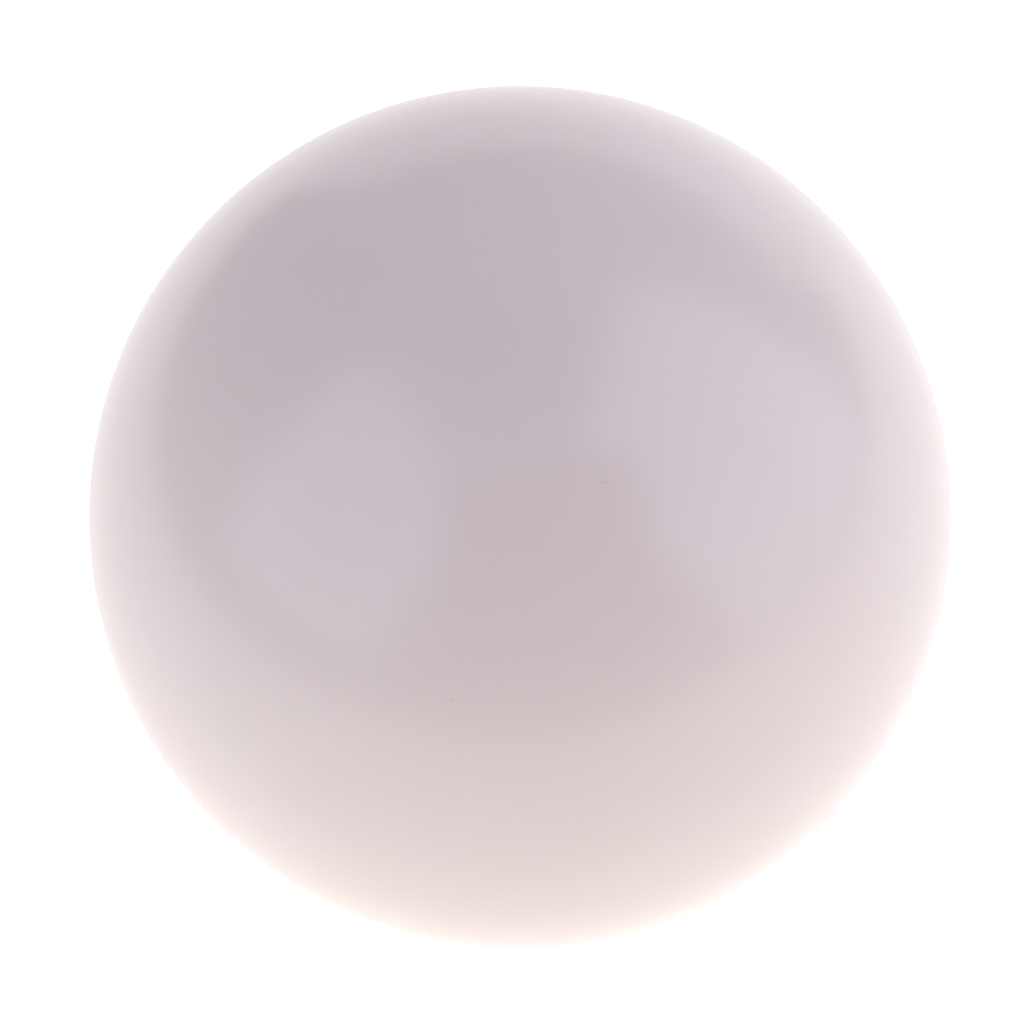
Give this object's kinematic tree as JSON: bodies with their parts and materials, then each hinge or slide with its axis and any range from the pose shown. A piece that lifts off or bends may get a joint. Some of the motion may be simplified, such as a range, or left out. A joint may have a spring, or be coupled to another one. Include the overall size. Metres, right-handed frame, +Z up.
{
  "type": "cue ball",
  "caption": "Plain white cue ball: a solid, polished resin sphere that the cue strikes on a pool or billiard table to drive the other balls.",
  "frame": {"origin": "centre of the ball", "axes": "+Z is up and passes through the point that the ball rests on; the ball is the same about every axis, so +X and +Y are free"},
  "size_m": [0.0572, 0.0572, 0.0572],
  "materials": {
    "cast_resin": "polished"
  },
  "bodies": {
    "root": {"cue_ball": "cast_resin"}
  },
  "joints": []
}
